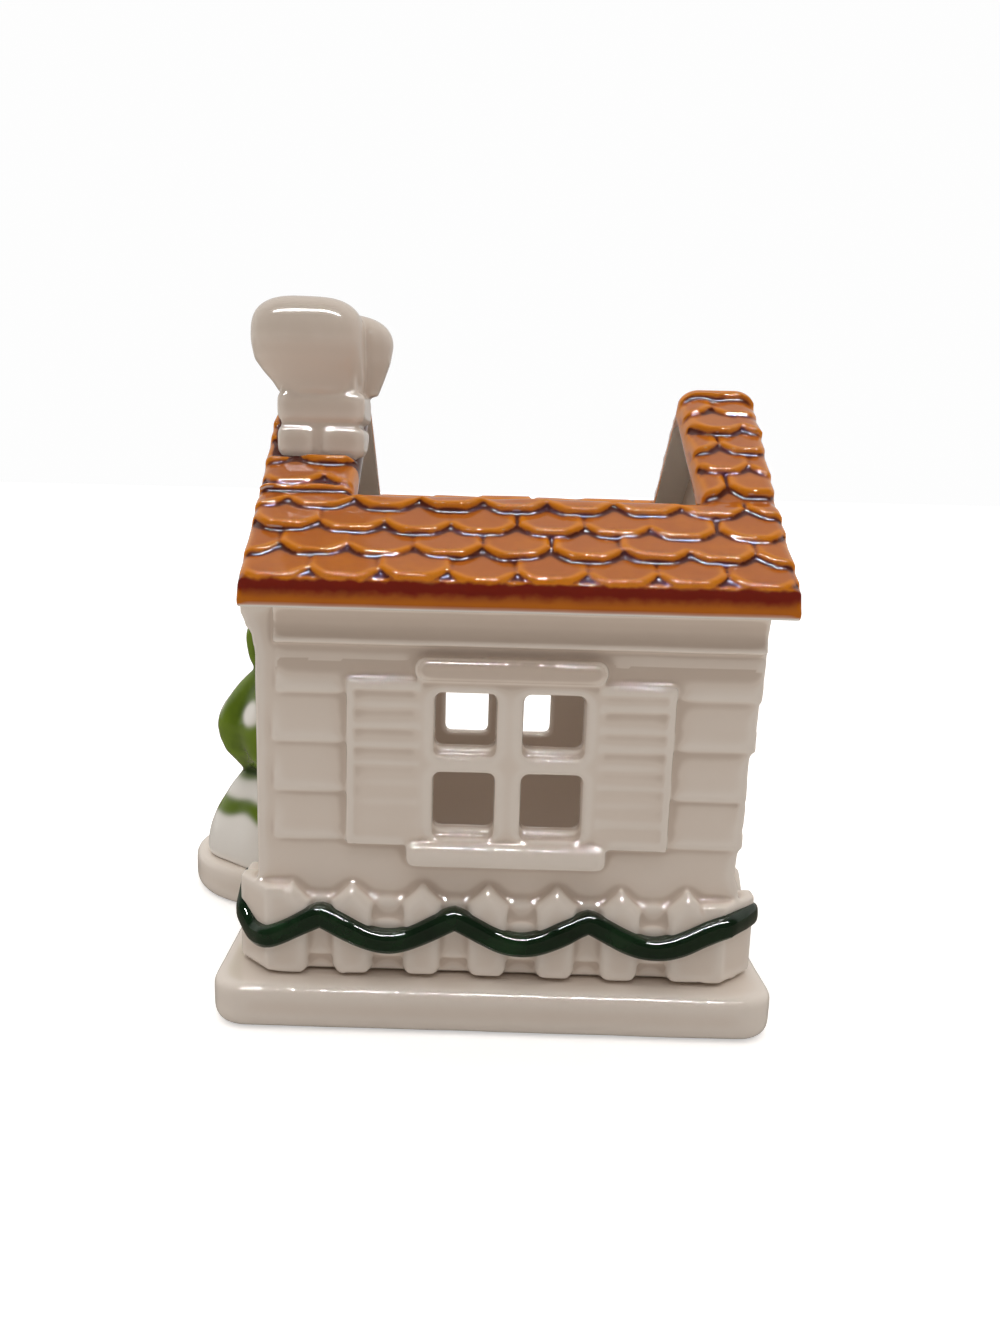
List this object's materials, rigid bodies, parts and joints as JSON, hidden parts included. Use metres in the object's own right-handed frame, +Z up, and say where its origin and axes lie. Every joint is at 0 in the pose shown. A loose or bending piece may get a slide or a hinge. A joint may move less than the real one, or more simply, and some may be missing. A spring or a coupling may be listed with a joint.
{
  "type": "house candle holder",
  "caption": "Glazed ceramic house shell with windows and an open roof, standing loose on a base plate that carries a tealight inside it.",
  "frame": {"origin": "centre of the base plate's rectangle, on its flat underside", "axes": "+Z up; +X to the right along the window front; +Y from the window front to the back"},
  "size_m": [0.169, 0.1345, 0.18],
  "materials": {
    "white_glaze": "gloss warm white glaze",
    "snow_glaze": "gloss white glaze",
    "amber_glaze": "gloss transparent amber glaze, darker where it pools",
    "garland_glaze": "gloss dark green glaze",
    "tree_glaze": "gloss mid green glaze with white snow",
    "door_glaze": "gloss brown glaze"
  },
  "bodies": {
    "base": {"base_plate": "white_glaze", "locating_step": "white_glaze", "candle_ring": "white_glaze"},
    "house": {"wall_front": "white_glaze", "wall_back": "white_glaze", "gable_wall_left": "white_glaze", "gable_wall_right": "white_glaze", "cornice_front": "white_glaze", "cornice_back": "white_glaze", "window_frame_front": "white_glaze", "window_lintel_front": "white_glaze", "window_sill_front": "white_glaze", "shutter_front_left": "white_glaze", "shutter_front_right": "white_glaze", "window_frame_back": "white_glaze", "window_lintel_back": "white_glaze", "window_sill_back": "white_glaze", "shutter_back_left": "white_glaze", "shutter_back_right": "white_glaze", "window_frame_right": "white_glaze", "window_lintel_right": "white_glaze", "window_sill_right": "white_glaze", "shutter_right_left": "white_glaze", "shutter_right_right": "white_glaze", "door_surround": "white_glaze", "corner_board_front": "white_glaze", "corner_board_back": "white_glaze", "fence_front": "white_glaze", "fence_back": "white_glaze", "fence_right": "white_glaze", "fence_left": "white_glaze", "chimney_stack": "white_glaze", "doorstep": "snow_glaze", "chimney_snow_cap": "snow_glaze", "tree_foot": "snow_glaze", "roof_front": "amber_glaze", "roof_back": "amber_glaze", "roof_left": "amber_glaze", "roof_right": "amber_glaze", "garland_front": "garland_glaze", "garland_back": "garland_glaze", "garland_right": "garland_glaze", "garland_left": "garland_glaze", "tree_middle": "tree_glaze", "tree_top": "tree_glaze", "door": "door_glaze"}
  },
  "joints": [
    {"name": "house_lift", "type": "slide", "parent": "base", "child": "house", "axis": [0, 0, 1], "range_m": [0, 0.12]}
  ]
}
